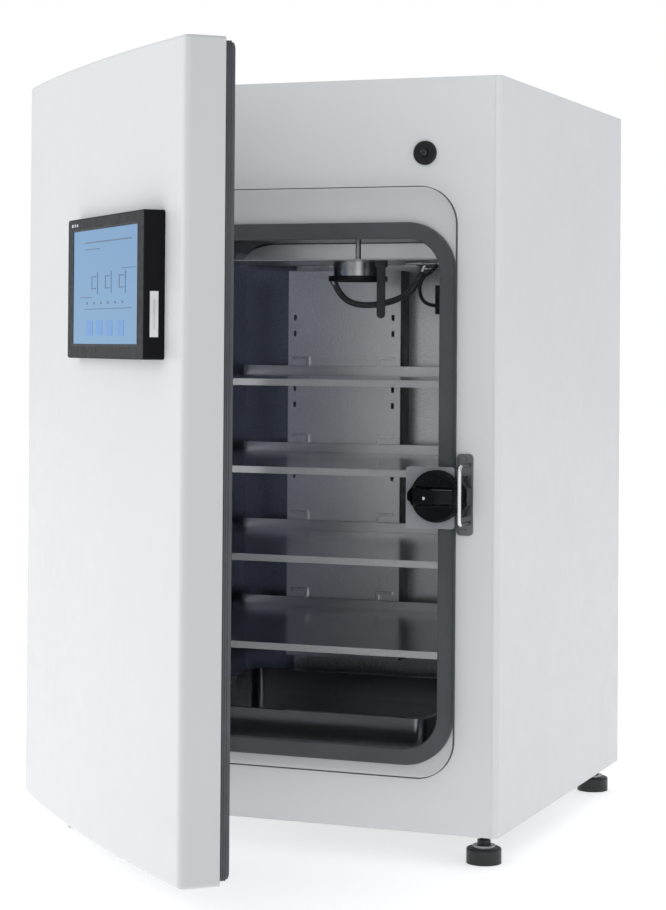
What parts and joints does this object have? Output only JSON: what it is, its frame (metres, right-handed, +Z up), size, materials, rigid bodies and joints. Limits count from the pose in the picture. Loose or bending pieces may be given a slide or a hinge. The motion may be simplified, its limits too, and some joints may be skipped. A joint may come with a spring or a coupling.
{
  "type": "laboratory incubator",
  "caption": "Upright floor-standing laboratory incubator with levelling feet, an insulated outer door carrying a screen, and a latched glass inner door before a stainless chamber with shelves.",
  "frame": {"origin": "centre of the case's footprint at floor level, under the four feet", "axes": "+Z up, the doors face -Y, +X is to the right of a person facing the doors"},
  "size_m": [0.6419, 1.1089, 1],
  "materials": {
    "case_paint": "satin",
    "door_paint": "satin",
    "inner_panel": "satin",
    "galvanised": "satin",
    "screw_steel": "satin",
    "mineral_wool": "matte",
    "door_foam": "matte",
    "chamber_steel": "polished",
    "shelf_steel": "satin",
    "tray_steel": "polished",
    "fan_steel": "polished",
    "baffle_steel": "satin",
    "keeper_steel": "satin",
    "probe_grey": "satin",
    "rod_steel": "polished",
    "pin_steel": "satin",
    "fitting_metal": "satin",
    "motor_metal": "satin",
    "valve_brass": "satin",
    "heater_mat": "matte",
    "seal_rubber": "matte",
    "foot_rubber": "satin",
    "hose_silicone": "satin",
    "lead_rubber": "satin",
    "black_plastic": "satin",
    "rocker_plastic": "gloss",
    "button_plastic": "gloss",
    "fan_plastic": "matte",
    "knob_plastic": "gloss",
    "plate_plastic": "satin",
    "bezel_plastic": "satin",
    "hatch_plastic": "satin",
    "circuit_board": "satin",
    "screen": "gloss",
    "door_glass": "gloss"
  },
  "bodies": {
    "cabinet": {"front_frame": "case_paint", "side_panel_left": "case_paint", "side_panel_right": "case_paint", "top_panel": "case_paint", "bottom_pan": "galvanised", "rear_cover": "case_paint", "fixing_screws": "screw_steel", "insulation": "mineral_wool", "chamber_liner": "chamber_steel", "floor_heater": "heater_mat", "mouth_seal": "seal_rubber", "rear_duct": "chamber_steel", "side_uprights": "chamber_steel", "shelf_brackets": "shelf_steel", "shelf_1": "shelf_steel", "shelf_2": "shelf_steel", "shelf_3": "shelf_steel", "shelf_4": "shelf_steel", "water_tray": "tray_steel", "ceiling_baffle": "baffle_steel", "fan_cup": "fan_steel", "fan_ring": "black_plastic", "fan_motor": "motor_metal", "temperature_probe": "probe_grey", "sensor_box": "black_plastic", "gas_fittings": "fitting_metal", "sample_hose": "hose_silicone", "sensor_lead": "lead_rubber", "control_board": "circuit_board", "power_supply": "motor_metal", "gas_valve": "valve_brass", "gas_inlet": "valve_brass", "power_inlet": "black_plastic", "switch_bezel": "black_plastic", "keeper_plate": "keeper_steel", "keeper_rod": "rod_steel", "keeper_block": "knob_plastic", "hinge_pins": "pin_steel", "hinge_brackets": "keeper_steel", "foot_bosses": "galvanised"},
    "fan": {"fan_wheel": "fan_plastic", "fan_shaft": "pin_steel"},
    "door_switch": {"switch_plunger": "button_plastic"},
    "power_switch": {"power_rocker": "rocker_plastic"},
    "glass_door": {"glass_pane": "door_glass", "glass_hinge_clamps": "keeper_steel", "knob_plate": "plate_plastic"},
    "latch": {"latch_knob": "knob_plastic"},
    "outer_door": {"door_shell": "door_paint", "door_inner_panel": "inner_panel", "door_insulation": "door_foam", "door_seal": "seal_rubber", "door_hinge_knuckles": "keeper_steel", "display_housing": "bezel_plastic", "display_screen": "screen", "side_hatch": "hatch_plastic"},
    "levelling_foot_front_left": {"foot_front_left": "foot_rubber"},
    "levelling_foot_front_right": {"foot_front_right": "foot_rubber"},
    "levelling_foot_rear_left": {"foot_rear_left": "foot_rubber"},
    "levelling_foot_rear_right": {"foot_rear_right": "foot_rubber"}
  },
  "joints": [
    {"name": "outer_door_hinge", "type": "hinge", "parent": "cabinet", "child": "outer_door", "pos_m": [-0.30265, -0.32684, 0.505], "axis": [0, 0, -1], "range_deg": [-45.2, 65]},
    {"name": "glass_door_hinge", "type": "hinge", "parent": "cabinet", "child": "glass_door", "pos_m": [-0.268, -0.312, 0.485], "axis": [0, 0, -1], "range_deg": [0, 40]},
    {"name": "latch_turn", "type": "hinge", "parent": "glass_door", "child": "latch", "pos_m": [0.2395, -0.3177, 0.4685], "axis": [0, 1, 0], "range_deg": [0, 90]},
    {"name": "fan_spin", "type": "hinge", "parent": "cabinet", "child": "fan", "pos_m": [0, 0.024, 0.8], "axis": [0, 0, 1], "continuous": true},
    {"name": "door_switch_travel", "type": "slide", "parent": "cabinet", "child": "door_switch", "axis": [0, 1, 0], "range_m": [0, 0.004], "stiffness_N_per_m": 300, "springref_m": -0.004},
    {"name": "power_switch_rock", "type": "hinge", "parent": "cabinet", "child": "power_switch", "pos_m": [-0.213, 0.297, 0.136], "axis": [1, 0, 0], "range_deg": [-8, 8]},
    {"name": "foot_front_left_screw", "type": "slide", "parent": "cabinet", "child": "levelling_foot_front_left", "axis": [0, 0, -1], "range_m": [-0.002, 0.01]},
    {"name": "foot_front_right_screw", "type": "slide", "parent": "cabinet", "child": "levelling_foot_front_right", "axis": [0, 0, -1], "range_m": [-0.002, 0.01]},
    {"name": "foot_rear_left_screw", "type": "slide", "parent": "cabinet", "child": "levelling_foot_rear_left", "axis": [0, 0, -1], "range_m": [-0.002, 0.01]},
    {"name": "foot_rear_right_screw", "type": "slide", "parent": "cabinet", "child": "levelling_foot_rear_right", "axis": [0, 0, -1], "range_m": [-0.002, 0.01]}
  ]
}
